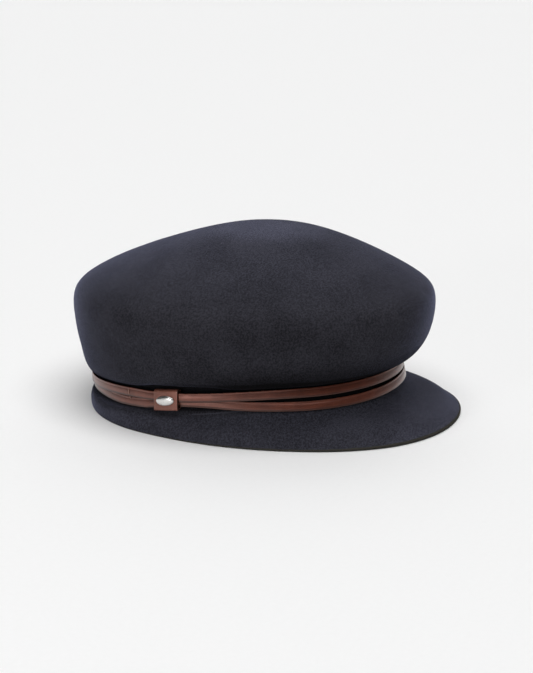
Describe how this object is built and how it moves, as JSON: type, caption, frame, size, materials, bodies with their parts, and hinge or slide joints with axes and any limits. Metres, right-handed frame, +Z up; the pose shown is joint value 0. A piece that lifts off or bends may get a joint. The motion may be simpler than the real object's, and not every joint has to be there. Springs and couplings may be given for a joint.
{
  "type": "sailor cap",
  "caption": "Moulded wool felt sailor cap: a domed crown over a narrow waist, a flange that grows into a visor, and slim leather strips drawn through a keeper with a plain metal stud.",
  "frame": {"origin": "on the floor that the cap rests on, under the middle of its outline", "axes": "+Z up through the crown, -Y out of the visor, -X towards the wearer's right, where the keeper sits"},
  "size_m": [0.1964, 0.253, 0.1193],
  "materials": {
    "felt": "matt navy wool felt with a short soft nap",
    "band_leather": "smooth brown leather with a low sheen and burnished edges",
    "keeper_leather": "smooth brown leather with a low sheen",
    "stud_metal": "polished silver tone, plain and slightly domed"
  },
  "bodies": {
    "root": {"felt_body": "felt", "upper_strip": "band_leather", "lower_strip": "band_leather", "keeper": "keeper_leather", "stud": "stud_metal"}
  },
  "joints": []
}
